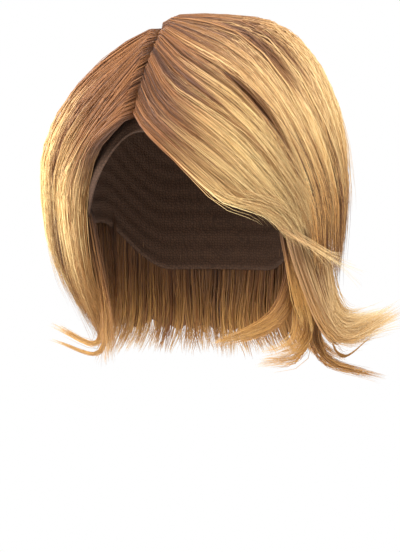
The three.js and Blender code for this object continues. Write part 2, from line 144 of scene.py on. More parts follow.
def linear(colour: int) -> tuple[float, float, float, float]:
    """Turn an sRGB hex colour into a linear one.

    Args:
        colour: the colour as 0xRRGGBB.

    Returns:
        Linear red, green, blue and an alpha of 1.
    """
    channels = [((colour >> shift) & 0xFF) / 255 for shift in (16, 8, 0)]
    red, green, blue = (c / 12.92 if c <= 0.04045 else ((c + 0.055) / 1.055) ** 2.4 for c in channels)
    return red, green, blue, 1.0


def add_node(tree: bpy.types.NodeTree, kind: str, inputs: dict, **settings: object) -> bpy.types.Node:
    """Add a node, with its settings, its constant values and its links.

    Args:
        tree: the node tree to add to.
        kind: Blender's name for the node.
        inputs: for each input socket, by name or number, a constant or the output socket that feeds it.
        settings: the node's own properties.

    Returns:
        The new node.
    """
    node = tree.nodes.new(kind)
    for key, value in settings.items():
        setattr(node, key, value)
    for key, value in inputs.items():
        if isinstance(value, bpy.types.NodeSocket):
            tree.links.new(value, node.inputs[key])
        else:
            node.inputs[key].default_value = value
    return node


def new_material(name: str) -> tuple[bpy.types.Material, bpy.types.NodeTree, bpy.types.Node]:
    """Start a material.

    Args:
        name: the material's name.

    Returns:
        The material, its node tree and its shader.
    """
    made = bpy.data.materials.new(name)
    made.use_nodes = True
    return made, made.node_tree, made.node_tree.nodes["Principled BSDF"]


def lerp(start: Numbers, end: Numbers, share: Numbers) -> Numbers:
    """The value at a share of the way from start to end."""
    return start + (end - start) * share


def smoothstep(value: Numbers, low: float, high: float) -> Numbers:
    """A soft step from 0 at low to 1 at high."""
    share = np.clip((value - low) / (high - low), 0.0, 1.0)
    return share * share * (3 - 2 * share)


def ease(value: Numbers, start: float, end: float, low: float, high: float) -> Numbers:
    """What goes softly from start to end while value goes from low to high."""
    return lerp(start, end, smoothstep(value, low, high))


def unit(vectors: np.ndarray) -> np.ndarray:
    """The vectors at length 1, along the last axis."""
    return vectors / np.maximum(np.linalg.norm(vectors, axis=-1, keepdims=True), 1e-9)


def across(vectors: np.ndarray, along: np.ndarray) -> np.ndarray:
    """What is left of the vectors square to unit vectors along, at length 1."""
    return unit(vectors - along * np.sum(vectors * along, axis=-1, keepdims=True))


@dataclass(frozen=True)
class HairForm:
    """The outer form of the hair: a dome that leans to one side, over an upright wall.

    The wall stands half_width and half_length from the middle. The dome rises on it from the equator to the
    top, and leans from lean_from up, by top_lean at the top. The parting lies on the right, at a tilt that
    differs between the top and the hairline in front, and lines start parting_gap degrees from it. Roots lie
    further back than their lines: by root_slant degrees, in full from slant_full on, which goes down to
    front_slant between slant_ends and the hairline.
    """

    half_width: float = 110.0
    half_length: float = 118.0
    top: float = 145.0
    equator: float = 14.0
    dome_power: float = 2.06
    top_lean: float = 19.5
    lean_from: float = 30.0
    lean_power: float = 1.3
    parting_tilt_top: float = 19.7
    parting_tilt_front: float = 15.0
    parting_gap: float = -0.5
    hairline: float = 67.0
    root_slant: float = 17.0
    slant_full: float = 30.0
    slant_ends: float = 50.0
    front_slant: float = 4.0

    def rise(self, z: np.ndarray) -> np.ndarray:
        """The share of the dome's height that z has reached."""
        return np.clip((z - self.equator) / (self.top - self.equator), 0.0, 1.0)

    def lean(self, z: np.ndarray) -> np.ndarray:
        """How far the hair leans to the left at height z."""
        share = np.clip((z - self.lean_from) / (self.top - self.lean_from), 0.0, 1.0)
        return self.top_lean * share**self.lean_power

    def outward(self, places: np.ndarray) -> np.ndarray:
        """Find the way out of the form.

        Args:
            places: places on the form or beside it.

        Returns:
            The outward unit direction at each of them.
        """
        x = (places[..., 0] - self.lean(places[..., 2])) / self.half_width
        y = places[..., 1] / self.half_length
        wide = np.hypot(x, y) ** (self.dome_power - 2)
        z = self.rise(places[..., 2]) ** (self.dome_power - 1) / (self.top - self.equator)
        return unit(np.stack([wide * x / self.half_width, wide * y / self.half_length, z], axis=-1))

    def on_dome(self, direction: np.ndarray, lift: float) -> np.ndarray:
        """Find a place on the dome.

        Args:
            direction: its unit direction from the dome's middle.
            lift: how far out from the dome it lies.

        Returns:
            The place.
        """
        wide = math.hypot(direction[0], direction[1]) ** (2 / self.dome_power)
        azimuth = math.atan2(direction[0], -direction[1])
        z = self.equator + (self.top - self.equator) * max(direction[2], 0.0) ** (2 / self.dome_power)
        x = self.lean(z) + self.half_width * wide * math.sin(azimuth)
        place = np.array([x, -self.half_length * wide * math.cos(azimuth), z])
        return place + self.outward(place) * lift

    def on_wall(self, azimuth: float, z: float, lift: float) -> np.ndarray:
        """The place at an azimuth and a height, out by lift from the wall under the dome."""
        a = math.radians(azimuth)
        return np.array([(self.half_width + lift) * math.sin(a), -(self.half_length + lift) * math.cos(a), z])

    def parting_root(self, along: float) -> np.ndarray:
        """Find a root on the parting.

        Args:
            along: its angle from the top towards the front.

        Returns:
            Its unit direction from the dome's middle.
        """
        share = min(max(along / self.hairline, 0.0), 1.0)
        side = math.radians(lerp(self.parting_tilt_top, self.parting_tilt_front, share))
        front = math.radians(along)
        flat = math.cos(side)
        return np.array([-math.sin(side), -flat * math.sin(front), flat * math.cos(front)])

    def slant(self, along: float) -> float:
        """How much further back than its line a root is, so that hair leaves the parting at a slant."""
        front = float(smoothstep(along, self.slant_ends, self.hairline))
        return lerp(self.root_slant, self.front_slant, front) * min(max(along / self.slant_full, 0.0), 1.0)


FORM = HairForm()


@dataclass(frozen=True)
class DrapedRow:
    """One line of hair that falls from the parting over the dome.

    along is its root, in degrees from the top towards the front, az its azimuth at the equator, sweep how
    far it bows sideways on its way there, and side its lift there. Then come the height and lift of its
    bend and of its tip, and the turn in azimuth from the equator to the tip. root_lift is the lift of its
    root, and root_fall the share of its way to the equator in which it comes down from there. crown_dip
    lowers it beside the parting, where the crown is flatter than the dome.
    """

    along: float
    az: float
    sweep: float
    side: float
    bend_z: float
    tuck: float
    tip_z: float
    flick: float
    turn: float
    root_lift: float = 2.5
    root_fall: float = 0.8
    crown_dip: float = 0.0

    def fixed_points(self) -> np.ndarray:
        """Fix the line.

        Returns:
            The places that it goes through, from root to tip.
        """
        a = math.radians(self.az)
        side = np.array([math.sin(a), -math.cos(a), 0.0])
        places = []
        for share in DRAPE_SHARES:
            back = FORM.slant(self.along) * max(1 - share / SLANT_SHARE, 0.0) ** SLANT_POWER
            root = FORM.parting_root(self.along - back)
            fall = lerp(math.radians(FORM.parting_gap), math.acos(float(root @ side)), share)
            x, y, z = root * math.cos(fall) + across(side, root) * math.sin(fall)
            bow = math.radians(self.sweep) * math.sin(math.pi * share)
            flat_x = x * math.cos(bow) - y * math.sin(bow)
            flat_y = x * math.sin(bow) + y * math.cos(bow)
            lift = lerp(self.root_lift, self.side, float(smoothstep(share, 0.0, self.root_fall)))
            dip = self.crown_dip if share == CROWN_SHARE else 0.0
            places.append(FORM.on_dome(np.array([flat_x, flat_y, z]), lift - dip))
        places.append(FORM.on_wall(self.az + self.turn * DRAPE_TURN, self.bend_z, self.tuck))
        places.append(FORM.on_wall(self.az + self.turn, self.tip_z, self.flick))
        return np.array(places)


@dataclass(frozen=True)
class HangingRow:
    """One line of hair that hangs from the cap: azimuth, height and lift of its root, bend and tip, its turn.

    half_width is that of a lock that hangs by itself, and tip_share what is left of it at the tip.
    """

    az: float
    root_z: float
    root_lift: float
    bend_z: float
    tuck: float
    tip_z: float
    flick: float
    turn: float
    half_width: float = 0.0
    tip_share: float = 0.3

    def fixed_points(self) -> np.ndarray:
        """Fix the line.

        Returns:
            The places that it goes through, from root to tip.
        """
        half_way_z = lerp(self.root_z, self.bend_z, HALF_WAY_DOWN)
        half_way_lift = lerp(self.root_lift, self.tuck, HALF_WAY_OUT)
        return np.array(
            [
                FORM.on_wall(self.az, self.root_z, self.root_lift),
                FORM.on_wall(self.az, half_way_z, half_way_lift),
                FORM.on_wall(self.az + self.turn * HANG_TURN, self.bend_z, self.tuck),
                FORM.on_wall(self.az + self.turn, self.tip_z, self.flick),
            ]
        )


Row = Union[DrapedRow, HangingRow]


def smooth_line(fixed: np.ndarray) -> np.ndarray:
    """A smooth curve through fixed points, as even steps.

    Args:
        fixed: the points that the curve goes through.

    Returns:
        LINE_STEPS + 1 places along the curve, evenly apart.
    """
    ends = np.vstack([2 * fixed[0] - fixed[1], fixed, 2 * fixed[-1] - fixed[-2]])
    t = np.linspace(0.0, 1.0, CURVE_STEPS, endpoint=False)[:, None]
    fine = []
    for k in range(len(fixed) - 1):
        a, b, c, d = ends[k : k + 4]
        before, here, after = (math.sqrt(np.linalg.norm(q - p)) for p, q in ((a, b), (b, c), (c, d)))
        leave = ((b - a) / before - (c - a) / (before + here) + (c - b) / here) * here
        arrive = ((c - b) / here - (d - b) / (here + after) + (d - c) / after) * here
        cubic = 2 * b - 2 * c + leave + arrive
        square = -3 * b + 3 * c - 2 * leave - arrive
        fine.append(b + t * (leave + t * (square + t * cubic)))
    curve = np.vstack([*fine, fixed[-1:]])
    reach = np.concatenate([[0.0], np.cumsum(np.linalg.norm(np.diff(curve, axis=0), axis=1))])
    even = np.linspace(0.0, reach[-1], LINE_STEPS + 1)
    return np.stack([np.interp(even, reach, curve[:, axis]) for axis in range(3)], axis=-1)


@dataclass
class GuideSheet:
    """Places that hair grows along: columns lie side by side, and steps run from root to tip."""

    places: np.ndarray
    outward: np.ndarray = field(init=False)
    sideways: np.ndarray = field(init=False)

    def __post_init__(self) -> None:
        """Work out the outward and sideways directions at each place."""
        along = unit(np.gradient(self.places, axis=1))
        surface = FORM.outward(self.places)
        outward = np.zeros_like(surface)
        carried = surface[:, 0]
        for step in range(self.places.shape[1]):
            facing = np.abs(np.sum(surface[:, step] * along[:, step], axis=-1, keepdims=True))
            carried = across(carried + surface[:, step] * (1 - facing) ** 2, along[:, step])
            outward[:, step] = carried
        self.outward = outward
        self.sideways = np.cross(along, outward)

    @classmethod
    def between(cls, rows: Sequence[Row], columns: int = 48) -> GuideSheet:
        """The sheet between neighbouring rows of a layer.

        Args:
            rows: the layer's rows, in order.
            columns: how many columns the sheet has.

        Returns:
            The sheet, whose columns share out the way from the first row to the last.
        """
        table = np.array([astuple(row) for row in rows])
        shares = np.linspace(0.0, len(rows) - 1, columns)
        filled = np.stack([np.interp(shares, np.arange(len(rows)), column) for column in table.T], axis=-1)
        kind = type(rows[0])
        return cls(np.stack([smooth_line(kind(*values).fixed_points()) for values in filled]))

    @classmethod
    def round_lock(cls, row: HangingRow, columns: int = 9) -> GuideSheet:
        """The rounded back of a lock that hangs by itself.

        Args:
            row: the lock's line, with its half width.
            columns: how many columns the sheet has.

        Returns:
            The sheet, from one edge of the lock to the other.
        """
        middle = cls(smooth_line(row.fixed_points())[None])
        along = np.linspace(0.0, 1.0, LINE_STEPS + 1)[None, :, None]
        half_width = row.half_width * lerp(1.0, row.tip_share, smoothstep(along, LOCK_TAPER, 1.0))
        place = np.linspace(-1.0, 1.0, columns)[:, None, None]
        crown = half_width * LOCK_CROWN * (1 - place**2)
        return cls(middle.places + middle.sideways * place * half_width + middle.outward * crown)

    def at(self, column: np.ndarray, along: np.ndarray) -> tuple[np.ndarray, np.ndarray, np.ndarray]:
        """Look up places of the sheet. Past its last step, hair goes straight on.

        Args:
            column: shares of the way across, from 0 to 1.
            along: shares of the way from root to tip.

        Returns:
            The places and their outward and sideways directions.
        """
        columns, steps = self.places.shape[:2]
        c = np.clip(column, 0.0, 1.0) * (columns - 1)
        s = np.clip(along, 0.0, 1.0) * (steps - 1)
        c0 = np.minimum(c.astype(int), columns - 2)
        s0 = np.minimum(s.astype(int), steps - 2)
        cf = (c - c0)[..., None]
        sf = (s - s0)[..., None]

        def blend(grid: np.ndarray) -> np.ndarray:
            """The grid's value between its four nearest places."""
            upper = lerp(grid[c0, s0], grid[c0 + 1, s0], cf)
            return lerp(upper, lerp(grid[c0, s0 + 1], grid[c0 + 1, s0 + 1], cf), sf)

        step = self.places[c0, s0 + 1] - self.places[c0, s0]
        past = np.maximum(along - 1.0, 0.0)[..., None] * (steps - 1)
        return blend(self.places) + step * past, unit(blend(self.outward)), unit(blend(self.sideways))


@dataclass(frozen=True)
class Valley:
    """A furrow in a layer, darkened with painted shade.

    place and width are its middle and half width across, start and end shares of the way from root to tip,
    shade how far painted shade darkens it, in tone and towards the root colours, and sink how deep it is.
    """

    place: float
    width: float
    start: float
    end: float
    shade: float
    sink: float = 0.0

    def share(self, column: np.ndarray, along: np.ndarray) -> np.ndarray:
        """Find how far hair lies in the valley.

        Args:
            column: shares of the way across a sheet.
            along: shares of the way from root to tip.

        Returns:
            A share from 0 to 1 at each place.
        """
        near = np.exp(-(((column - self.place) / self.width) ** 2))
        soft = VALLEY_ENDS * (self.end - self.start)
        begun = smoothstep(along, self.start, self.start + soft)
        return near * begun * (1 - smoothstep(along, self.end - soft, self.end))


@dataclass(frozen=True)
class Growth:
    """How a layer is filled with strands, in wisps of strands that lie together.

    wisps and locks count those of the layer, strands the strands of a wisp and points the points of a strand.
    ridge is the height of a lock's crest, and outer and inner bound the strands' heights over the guide
    sheet. shortest and longest are shares of the guides' length, and thickness is that of a strand.
    overlap is a wisp's width beside its share of the way across, and gather and point are how narrow a wisp
    is and how far a lock has drawn together at the tip. wave is how far a lock wanders sideways, and fray
    how far a strand leaves its wisp. tones are shared out over the way across, below root_end, the roots
    have root_tone, and streak is how far tones differ. dive is how far roots reach in. fade is how
    unevenly, and lighten how much sooner, wisps turn from the colours of roots to those of tips.
    groove_shade is painted shade: how much darker the hair between two locks is painted, and a little
    lighter on their crests, from groove_shade_from on. tip_tone is how much lighter the tips are. Roots
    start as late as a share late_roots of the way. splay is how far a wisp's tip leaves the layer. A share
    strays of the strands leaves it, by stray_reach at most.
    """

    wisps: int
    strands: int
    locks: int
    ridge: float
    outer: float
    inner: float
    points: int = 12
    shortest: float = 0.82
    longest: float = 1.04
    overlap: float = 7.0
    gather: float = 0.4
    point: float = 0.4
    wave: float = 1.2
    fray: float = 1.3
    thickness: float = 0.5
    tones: tuple[float, ...] = (0.52,)
    root_tone: float = 0.5
    root_end: float = 0.4
    streak: float = 0.24
    dive: float = 0.0
    fade: float = 0.06
    groove_shade: float = 0.25
    groove_shade_from: float = 0.0
    lighten: float = 0.0
    tip_tone: float = 0.0
    late_roots: float = 0.0
    splay: float = 2.0
    strays: float = 0.03
    stray_reach: float = 7.0
    valleys: tuple[Valley, ...] = ()

    def for_lock(self, half_width: float, tone: float) -> Growth:
        """Fit the growth to a lock that hangs by itself, so that depth, fray and splay go with its width.

        Args:
            half_width: the lock's half width.
            tone: its tone.

        Returns:
            The lock's own growth.
        """
        size = half_width / WIDE_LOCK
        inner = self.inner * size
        return replace(self, tones=(tone,), inner=inner, fray=self.fray * size, splay=self.splay * size)


@dataclass
class Strands:
    """Centre lines of strands, with what a mesh of them needs. Arrays run strand by strand, root to tip."""

    places: np.ndarray
    outward: np.ndarray
    radius: np.ndarray
    tone: np.ndarray
    share: np.ndarray

    @classmethod
    def grow(cls, sheet: GuideSheet, growth: Growth, rng: np.random.Generator) -> Strands:
        """Fill a guide sheet with wisps of strands.

        Args:
            sheet: where the hair lies.
            growth: how full it is, and how it gathers, waves and frays.
            rng: a seeded source of random numbers.

        Returns:
            The strands.
        """
        wisps = growth.wisps
        count = wisps * growth.strands
        of = np.repeat(np.arange(wisps), growth.strands)

        # The wisps and locks
        middle = (np.arange(wisps) + rng.uniform(*WISP_PLACE, wisps)) / wisps
        deep = rng.permutation(wisps) / wisps
        wisp_length = rng.uniform(growth.shortest, growth.longest, wisps)
        bands = BROAD_STREAKS * growth.locks + 1
        broad = np.interp(middle, np.linspace(0.0, 1.0, bands), rng.normal(size=bands))
        base = np.interp(middle, np.linspace(0.0, 1.0, len(growth.tones)), growth.tones)
        wisp_tone = growth.streak * (BROAD_PART * broad + WISP_PART * rng.normal(size=wisps))
        edges = np.linspace(0.0, 1.0, growth.locks + 1)
        uneven = np.interp(middle, edges, rng.uniform(-UNEVEN_GROOVES, UNEVEN_GROOVES, growth.locks + 1))
        # painted shade in the grooves between locks, and a little painted light on their crests
        groove_shading = np.sin(math.pi * ((middle * growth.locks + uneven) % 1.0)) - MEAN_CREST
        groove_shading = growth.groove_shade * groove_shading
        phase = rng.uniform(0.0, 2 * math.pi, (2, growth.locks))
        splay = growth.splay * rng.normal(size=(2, wisps))
        fade = growth.fade * rng.normal(size=wisps)

        # The strands of each wisp
        beside = sum(rng.uniform(-shift, shift, count) for shift in WISP_SPREAD)
        depth = lerp(rng.uniform(size=count), deep[of], WISP_HEIGHT)
        height = lerp(growth.outer, growth.inner, depth)
        length = wisp_length[of] * (1 - SHORTER * rng.uniform(size=count) ** 2)
        # strands deep in the layer get painted shade, as if under the ones above them
        tone = wisp_tone[of] + STRAND_JITTER * rng.normal(size=count) - DEEP_SHADE * (depth - EVEN_DEPTH)
        wander = rng.normal(size=(3, count)) * growth.fray
        stray = (rng.uniform(size=count) < growth.strays) * rng.uniform(*STRAY_SHARES, count)
        stray = stray * growth.stray_reach
        stray_side = rng.uniform(-1.0, 1.0, count) * stray

        # The points of each strand, with their tones
        even = np.linspace(0.0, 1.0, growth.points)
        way = lerp(even, 0.5 - 0.5 * np.cos(math.pi * even), END_CROWDING)[None, :]
        start = growth.late_roots * rng.uniform(size=(count, 1)) ** 2
        along = lerp(start, length[:, None], way)
        below_roots = smoothstep(along, ALL_ROOT * growth.root_end, growth.root_end)
        tone = tone[:, None] * lerp(ROOT_CONTRAST, 1.0, below_roots)
        tone = tone + lerp(growth.root_tone, base[of][:, None], below_roots)
        tone = tone + growth.tip_tone * ease(along, *TIP_TONE_RISE)
        # the painted groove shade and light set in down the strand
        set_in = smoothstep(along, growth.groove_shade_from, growth.groove_shade_from + GROOVE_FADE)
        tone = tone + groove_shading[of][:, None] * set_in
        share = along + fade[of][:, None] + growth.lighten * ease(along, *LIGHTEN_RISE)

        # Where they lie on the sheet
        gather = ease(way, 1.0, growth.gather, GATHER_FROM, 1.0)
        column = middle[of][:, None] + beside[:, None] * growth.overlap / wisps * gather
        lock = np.minimum(middle[of] * growth.locks, growth.locks - 1).astype(int)
        lock_middle = ((lock + 0.5) / growth.locks)[:, None]
        column = lerp(column, lock_middle, growth.point * smoothstep(along, POINT_FROM, 1.0))
        places, outward, sideways = sheet.at(column, along)

        # How far they rise over it
        crest = np.sin(math.pi * np.clip(column * growth.locks - lock[:, None], 0.0, 1.0))
        swell = ease(way, *RIDGE_RISE) * ease(way, *RIDGE_FALL)
        thinned = ease(way, *TIP_DEPTH) * ease(way, *ROOT_DEPTH)
        rise = height[:, None] * thinned + growth.ridge * crest * swell
        rise = rise - growth.dive * (1 - smoothstep(way, 0.0, DIVE_SHARE))
        rise = rise + wander[0][:, None] * way**2 * LIFT_FRAY + stray[:, None] * way**STRAY_POWER
        rise = rise + splay[0][of][:, None] * way**SPLAY_POWER
        # valleys sink the strands and paint shade into them: a lower tone, and colours nearer the dark roots
        for valley in growth.valleys:
            inside = valley.share(column, along)
            rise = rise - valley.sink * inside
            tone = tone - valley.shade * inside
            share = share * (1 - valley.shade * inside)

        # How far they slide sideways
        wave = growth.wave * np.sin(math.pi * WAVE_HALVES * way + phase[0][lock][:, None])
        ripple = RIPPLE_SIZE * growth.wave * np.sin(math.pi * RIPPLE_HALVES * way + phase[1][lock][:, None])
        slide = (wave + ripple) * ease(way, *WAVE_RISE)
        slide = slide + wander[1][:, None] * way + wander[2][:, None] * way**3 + stray_side[:, None] * way**2
        slide = slide + splay[1][of][:, None] * way**SPLAY_POWER
        places = places + outward * rise[..., None] + sideways * slide[..., None]

        radius = 0.5 * growth.thickness * ease(way, *TIP_RADIUS)
        radius = radius * ease(way, *ROOT_RADIUS) * rng.uniform(*THICKNESS_SHARES, count)[:, None]
        return cls(places, outward, radius, np.clip(tone, *TONE_RANGE), np.clip(share, *SHARE_RANGE))

    @classmethod
    def joined(cls, groups: Sequence[Strands]) -> Strands:
        """The strands of several groups together."""
        names = [item.name for item in fields(cls)]
        return cls(*(np.concatenate([getattr(group, name) for group in groups]) for name in names))

    def build(self, name: str) -> bpy.types.Object:
        """Make one mesh of closed, tapered strands.

        Args:
            name: the piece's name.

        Returns:
            The new object.
        """
        count, points = self.places.shape[:2]
        rings = points - 1
        along = unit(np.gradient(self.places, axis=1))
        outward = across(self.outward, along)
        beside = np.cross(along, outward)
        twist = np.arange(count)[:, None, None] * STRAND_TWIST
        angle = twist + 2 * math.pi * np.arange(STRAND_CORNERS)[None, None, :] / STRAND_CORNERS
        reach = self.radius[:, :rings, None, None]
        corner = np.cos(angle)[..., None] * beside[:, :rings, None]
        corner = corner + np.sin(angle)[..., None] * outward[:, :rings, None]
        tubes = (self.places[:, :rings, None] + reach * corner).reshape(count, rings * STRAND_CORNERS, 3)
        vertices = np.concatenate([tubes, self.places[:, -1:]], axis=1) * MM

        own = np.arange(STRAND_CORNERS)
        nxt = (own + 1) % STRAND_CORNERS
        ring = STRAND_CORNERS * np.arange(rings - 1)[:, None]
        above = ring + STRAND_CORNERS
        quads = np.stack([ring + own, above + own, above + nxt, ring + nxt], axis=-1)
        last = STRAND_CORNERS * (rings - 1)
        tip = np.full(STRAND_CORNERS, STRAND_CORNERS * rings)
        triangles = np.vstack([np.stack([last + own, tip, last + nxt], axis=-1), own])
        start = (np.arange(count) * vertices.shape[1])[:, None]
        quad_loops = (start + quads.reshape(1, -1)).ravel()
        triangle_loops = (start + triangles.reshape(1, -1)).ravel()
        loops = np.concatenate([quad_loops, triangle_loops]).astype(np.int32)
        sizes = np.concatenate([np.full(len(quad_loops) // 4, 4), np.full(len(triangle_loops) // 3, 3)])

        mesh = bpy.data.meshes.new(name)
        mesh.vertices.add(vertices.shape[0] * vertices.shape[1])
        mesh.vertices.foreach_set("co", vertices.astype(np.float32).ravel())
        mesh.loops.add(len(loops))
        mesh.loops.foreach_set("vertex_index", loops)
        mesh.polygons.add(len(sizes))
        mesh.polygons.foreach_set("loop_start", (np.cumsum(sizes) - sizes).astype(np.int32))
        mesh.update(calc_edges=True)
        mesh.polygons.foreach_set("use_smooth", np.ones(len(sizes), dtype=bool))

        maps = []
        for values in (self.tone, self.share):
            round_rings = np.repeat(values[:, :rings], STRAND_CORNERS, axis=1)
            maps.append(np.concatenate([round_rings, values[:, -1:]], axis=1).ravel()[loops])
        uv = np.stack(maps, axis=-1).astype(np.float32)
        mesh.uv_layers.new(name=STRAND_UV).data.foreach_set("uv", uv.ravel())
        return place_piece(name, mesh)


def finished_mesh(bm: bmesh.types.BMesh, name: str) -> bpy.types.Mesh:
    """Turn a bmesh into a mesh, and let go of it.

    Args:
        bm: the bmesh.
        name: the mesh's name.

    Returns:
        The new mesh.
    """
    mesh = bpy.data.meshes.new(name)
    bm.to_mesh(mesh)
    bm.free()
    return mesh


def into_scene(name: str, data: bpy.types.ID) -> bpy.types.Object:
    """Put a mesh, a camera or a light into the scene.

    Args:
        name: the object's name.
        data: what it holds.

    Returns:
        The new object.
    """
    made = bpy.data.objects.new(name, data)
    bpy.context.scene.collection.objects.link(made)
    return made


def place_piece(name: str, mesh: bpy.types.Mesh) -> bpy.types.Object:
    """Put a mesh into the scene as a piece that rides on the part's one body.

    Args:
        name: the piece's name.
        mesh: its mesh, with its place in it.

    Returns:
        The new object.
    """
    piece = into_scene(name, mesh)
    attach(piece, BODY)
    return piece


def add_wall(piece: bpy.types.Object, thickness: float) -> None:
    """Give a thin piece its wall, inwards from its outer face.

    Args:
        piece: the piece.
        thickness: the wall's thickness.
    """
    wall = piece.modifiers.new("wall", "SOLIDIFY")
    wall.thickness = thickness * MM
    wall.offset = -1.0


@dataclass(frozen=True)
class HairFinish:
    """Drawn synthetic fibre: smooth, satin, dyed dark at the root, with streaks of two tones.

    A stop is a share of the way from root to tip and a colour. A strand's own tone lies between the two.
    """

    name: str
    lowlight: tuple[tuple[float, int], ...]
    highlight: tuple[tuple[float, int], ...]
    roughness: float = 0.47
    ior: float = 1.53

    def material(self) -> bpy.types.Material:
        """Make the finish once, and find it after that.

        Returns:
            The finish as a material that reads each strand's tone and length from its UV map.
        """
        found = bpy.data.materials.get(self.name)
        if found:
            return found
        made, tree, shader = new_material(self.name)
        uv = add_node(tree, "ShaderNodeUVMap", {}, uv_map=STRAND_UV)
        part = add_node(tree, "ShaderNodeSeparateXYZ", {0: uv.outputs["UV"]})
        ramps = []
        for stops in (self.lowlight, self.highlight):
            ramp = add_node(tree, "ShaderNodeValToRGB", {0: part.outputs["Y"]})
            elements = ramp.color_ramp.elements
            elements[0].color = linear(stops[0][1])
            elements[1].color = linear(stops[-1][1])
            for place, colour in stops[1:-1]:
                elements.new(place).color = linear(colour)
            ramps.append(ramp.outputs["Color"])
        tones = {0: part.outputs["X"], MIX_FIRST: ramps[0], MIX_SECOND: ramps[1]}
        mixed = add_node(tree, "ShaderNodeMix", tones, data_type="RGBA")
        tree.links.new(mixed.outputs[MIX_RESULT], shader.inputs["Base Color"])
        shader.inputs["Roughness"].default_value = self.roughness
        shader.inputs["IOR"].default_value = self.ior
        return made


@dataclass(frozen=True)
class NetFinish:
    """Knotted elastic net, matt, with open cells between darker threads.

    cell_size and relief are in millimetres. thread_reach is how far a thread's tone reaches into a cell,
    and unevenness how far cells differ.
    """

    name: str = "knotted_elastic_net"
    thread: int = 0x3E2818
    cell: int = 0x553A27
    cell_size: float = 2.0  # coarser than a real net, so that it shows
    thread_reach: float = 0.18
    unevenness: float = 0.55
    relief: float = 0.35
    relief_strength: float = 0.8
    roughness: float = 0.85

    def material(self) -> bpy.types.Material:
        """Make the finish.

        Returns:
            The finish as a material on Object coordinates.
        """
        made, tree, shader = new_material(self.name)
        place = add_node(tree, "ShaderNodeTexCoord", {}).outputs["Object"]
        knots = {"Vector": place, "Scale": 1 / (self.cell_size * MM), "Randomness": self.unevenness}
        cells = add_node(tree, "ShaderNodeTexVoronoi", knots, feature="DISTANCE_TO_EDGE")
        reach = {"Value": cells.outputs["Distance"], "From Min": 0.0, "From Max": self.thread_reach}
        open_share = add_node(tree, "ShaderNodeMapRange", reach)
        tones = {0: open_share.outputs[0], MIX_FIRST: linear(self.thread), MIX_SECOND: linear(self.cell)}
        mixed = add_node(tree, "ShaderNodeMix", tones, data_type="RGBA")
        sunk = {"Height": open_share.outputs[0], "Distance": self.relief * MM}
        bump = add_node(tree, "ShaderNodeBump", {**sunk, "Strength": self.relief_strength}, invert=True)
        tree.links.new(mixed.outputs[MIX_RESULT], shader.inputs["Base Color"])
        tree.links.new(bump.outputs["Normal"], shader.inputs["Normal"])
        shader.inputs["Roughness"].default_value = self.roughness
        return made


# Fibre dyed brown at the root, which turns to pale gold with tan streaks a third of the way down
ROOTED_BLONDE = HairFinish(
    name="rooted_blonde_fibre",
    lowlight=(
        (0.0, 0x382012), (0.06, 0x562F18), (0.3, 0x5E381E),
        (0.5, 0x9C6C3A), (0.75, 0xAA7840), (1.0, 0xA07038),
    ),
    highlight=(
        (0.0, 0x8C5630), (0.06, 0xA86F3E), (0.3, 0xA06A3C),
        (0.44, 0xE6BC80), (0.58, 0xFFE09E), (1.0, 0xF8DC9E),
    ),
)
# The same, with dark brown streaks towards the tips: partly lowlights of the fibre, partly painted shade in
# the gaps between locks
STREAKED_SHADED_BLONDE = HairFinish(
    name="streaked_shaded_blonde_fibre",
    lowlight=(
        (0.0, 0x382012), (0.06, 0x562F18), (0.3, 0x6A4022), (0.46, 0xA47444),
        (0.71, 0xB07C48), (0.8, 0x4A2210), (1.0, 0x683A1A),
    ),
    highlight=(
        (0.0, 0x8C5630), (0.06, 0xA86F3E), (0.3, 0xBC8A54), (0.44, 0xF0C88C),
        (0.58, 0xFFDE9E), (0.72, 0xFCD896), (0.81, 0xE8B470), (1.0, 0xDEA862),
    ),
)
# Golden fibre, palest at its ends
GOLDEN_ENDS = HairFinish(
    name="golden_blonde_fibre",
    lowlight=((0.0, 0x6A4428), (0.35, 0x84562C), (0.7, 0xB07E42), (1.0, 0xD2A868)),
    highlight=((0.0, 0xB98C5C), (0.35, 0xDCB47C), (0.7, 0xF4D498), (1.0, 0xFAE4B4)),
)
# Deeper, warmer fibre, for the layers underneath
CARAMEL = HairFinish(
    name="caramel_fibre",
    lowlight=((0.0, 0x42281A), (0.4, 0x6A4020), (0.7, 0x8C5626), (1.0, 0xA86E32)),
    highlight=((0.0, 0x7E5632), (0.4, 0xB07C44), (0.7, 0xDCA85C), (1.0, 0xEEC47C)),
)


